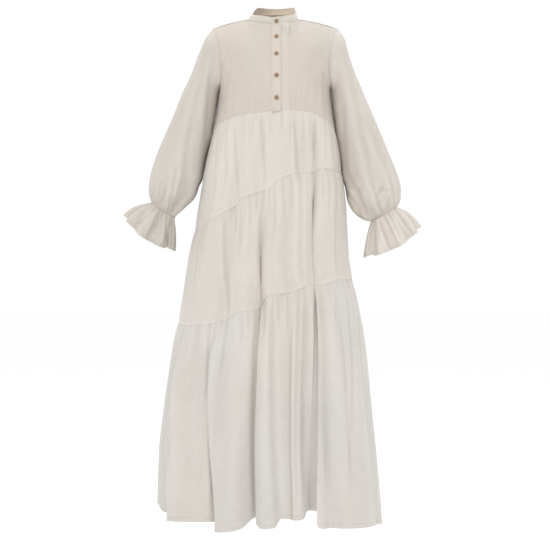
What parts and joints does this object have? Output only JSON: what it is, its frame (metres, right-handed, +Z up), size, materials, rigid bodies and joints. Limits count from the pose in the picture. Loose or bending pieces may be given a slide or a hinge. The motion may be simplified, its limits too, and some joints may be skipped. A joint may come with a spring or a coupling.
{
  "type": "tiered dress",
  "caption": "Long tiered gauze dress in its worn shape: band collar, buttoned placket, full gathered sleeves with ruffled cuffs, slanting gathered skirt tiers, open neck, cuffs and hem.",
  "frame": {"origin": "middle of the neck base, where the wearer's shoulders and neck hold the dress", "axes": "+X to the viewer's right when facing the front (the wearer's left), the front faces -Y, +Z up along the dress"},
  "size_m": [0.8933, 0.5197, 1.5498],
  "materials": {
    "gauze": "matte crinkled cotton gauze, off-white",
    "collar_gauze": "matte crinkled cotton gauze, doubled, off-white",
    "button_wood": "satin brown wood with two sewing holes"
  },
  "bodies": {
    "root": {"bodice_front_left": "gauze", "bodice_front_right": "gauze", "bodice_back": "gauze", "collar_band": "collar_gauze", "placket": "collar_gauze", "button_1": "button_wood", "button_2": "button_wood", "button_3": "button_wood", "button_4": "button_wood", "button_5": "button_wood", "sleeve_left": "gauze", "sleeve_right": "gauze", "cuff_ruffle_left": "gauze", "cuff_ruffle_right": "gauze", "tier_1_front": "gauze", "tier_1_back": "gauze", "tier_2_front": "gauze", "tier_2_back": "gauze", "tier_3_front": "gauze", "tier_3_back": "gauze"}
  },
  "joints": []
}
